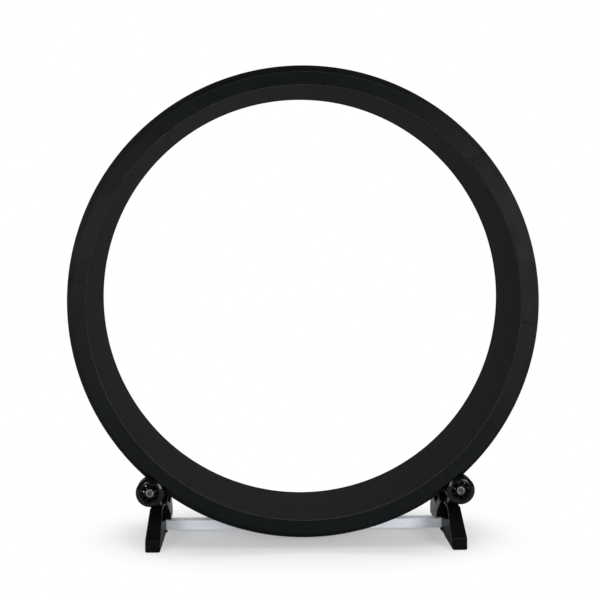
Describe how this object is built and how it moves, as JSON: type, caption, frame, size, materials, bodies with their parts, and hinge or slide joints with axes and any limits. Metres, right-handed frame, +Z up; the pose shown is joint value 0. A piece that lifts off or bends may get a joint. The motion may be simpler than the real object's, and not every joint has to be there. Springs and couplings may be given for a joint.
{
  "type": "cat exercise wheel",
  "caption": "Large open running wheel for a cat: a ring of joined sections lined with foam, turning on rollers on two low legs joined by a bar.",
  "frame": {"origin": "on the floor under the middle of the wheel, centred between the legs", "axes": "+X to the right seen from the front, +Y along the wheel's axis from the front to the rear, +Z up"},
  "size_m": [1.22, 0.316, 1.234],
  "materials": {
    "rim_plastic": "satin",
    "tread_foam": "matte",
    "roller_polyurethane": "satin",
    "leg_plastic": "satin",
    "bar_metal": "satin",
    "bearing_steel": "satin",
    "bolt_steel": "satin",
    "foot_rubber": "matte"
  },
  "bodies": {
    "base": {"left_leg": "leg_plastic", "right_leg": "leg_plastic", "crossbar": "bar_metal", "roller_bearings": "bearing_steel", "axle_bolts": "bolt_steel", "axle_nuts": "bolt_steel", "clamp_screws": "bolt_steel", "rubber_feet": "foot_rubber"},
    "wheel": {"wheel_section_1": "rim_plastic", "wheel_section_2": "rim_plastic", "wheel_section_3": "rim_plastic", "wheel_section_4": "rim_plastic", "wheel_section_5": "rim_plastic", "wheel_section_6": "rim_plastic", "wheel_section_7": "rim_plastic", "wheel_section_8": "rim_plastic", "foam_tread_1": "tread_foam", "foam_tread_2": "tread_foam", "foam_tread_3": "tread_foam", "foam_tread_4": "tread_foam", "foam_tread_5": "tread_foam", "foam_tread_6": "tread_foam", "foam_tread_7": "tread_foam", "foam_tread_8": "tread_foam"},
    "front_left_roller_body": {"front_left_roller": "roller_polyurethane"},
    "front_right_roller_body": {"front_right_roller": "roller_polyurethane"},
    "rear_left_roller_body": {"rear_left_roller": "roller_polyurethane"},
    "rear_right_roller_body": {"rear_right_roller": "roller_polyurethane"}
  },
  "joints": [
    {"name": "wheel_spin", "type": "hinge", "parent": "base", "child": "wheel", "pos_m": [0, 0, 0.624], "axis": [0, 1, 0], "continuous": true},
    {"name": "front_left_roller_spin", "type": "hinge", "parent": "base", "child": "front_left_roller_body", "pos_m": [-0.39499, -0.11, 0.14313], "axis": [0, 1, 0], "continuous": true},
    {"name": "front_right_roller_spin", "type": "hinge", "parent": "base", "child": "front_right_roller_body", "pos_m": [0.39499, -0.11, 0.14313], "axis": [0, 1, 0], "continuous": true},
    {"name": "rear_left_roller_spin", "type": "hinge", "parent": "base", "child": "rear_left_roller_body", "pos_m": [-0.39499, 0.11, 0.14313], "axis": [0, 1, 0], "continuous": true},
    {"name": "rear_right_roller_spin", "type": "hinge", "parent": "base", "child": "rear_right_roller_body", "pos_m": [0.39499, 0.11, 0.14313], "axis": [0, 1, 0], "continuous": true}
  ],
  "couplings": [
    {"joint": "front_left_roller_spin", "follows": "wheel_spin", "ratio": -16.278},
    {"joint": "front_right_roller_spin", "follows": "wheel_spin", "ratio": -16.278},
    {"joint": "rear_left_roller_spin", "follows": "wheel_spin", "ratio": -16.278},
    {"joint": "rear_right_roller_spin", "follows": "wheel_spin", "ratio": -16.278}
  ]
}
